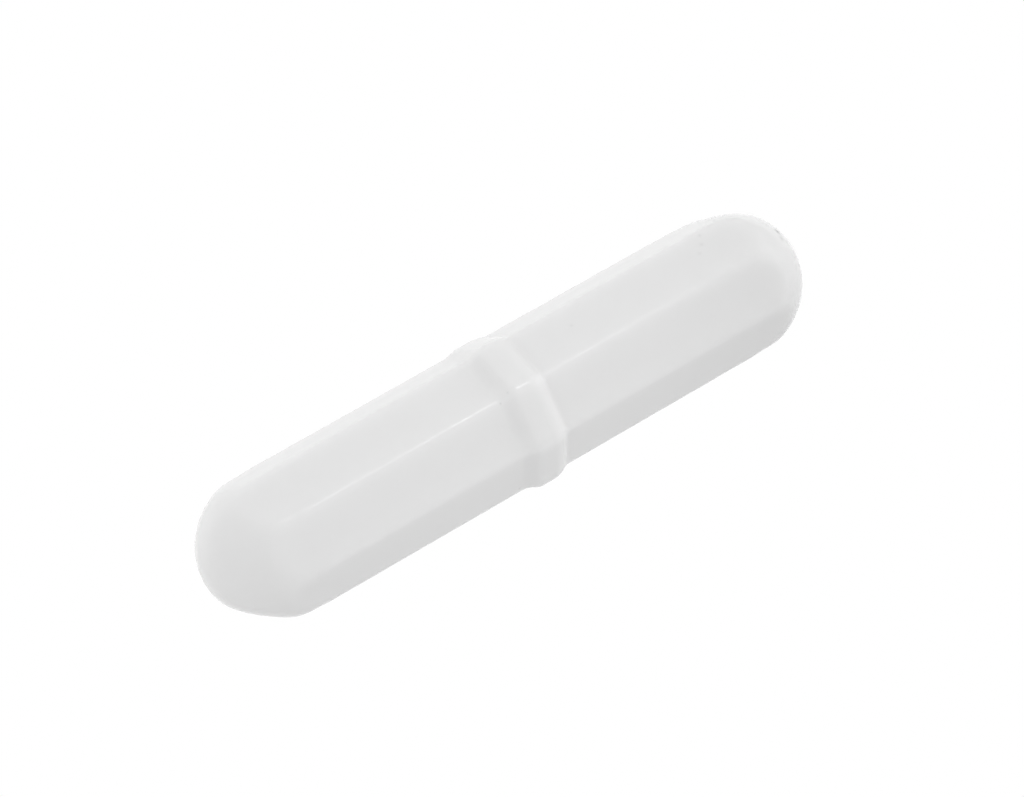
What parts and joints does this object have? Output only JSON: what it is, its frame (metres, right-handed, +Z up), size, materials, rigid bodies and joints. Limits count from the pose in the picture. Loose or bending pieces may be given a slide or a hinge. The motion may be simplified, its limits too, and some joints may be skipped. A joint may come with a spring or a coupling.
{
  "type": "magnetic stir bar",
  "caption": "Octagonal magnetic stir bar with rounded ends and a moulded pivot ring round its middle, sealed over a rod magnet.",
  "frame": {"origin": "centre of the pivot ring's lowest flat land, which the bar rests on: the bottom centre of the whole part", "axes": "+X along the bar, +Z up, away from what it rests on"},
  "size_m": [0.0396, 0.0088, 0.0087],
  "materials": {
    "ptfe": "moulded white PTFE, waxy satin, slightly translucent",
    "alnico": "cast alnico, dull grey, sealed in the jacket"
  },
  "bodies": {
    "root": {"jacket": "ptfe", "magnet": "alnico"}
  },
  "joints": []
}
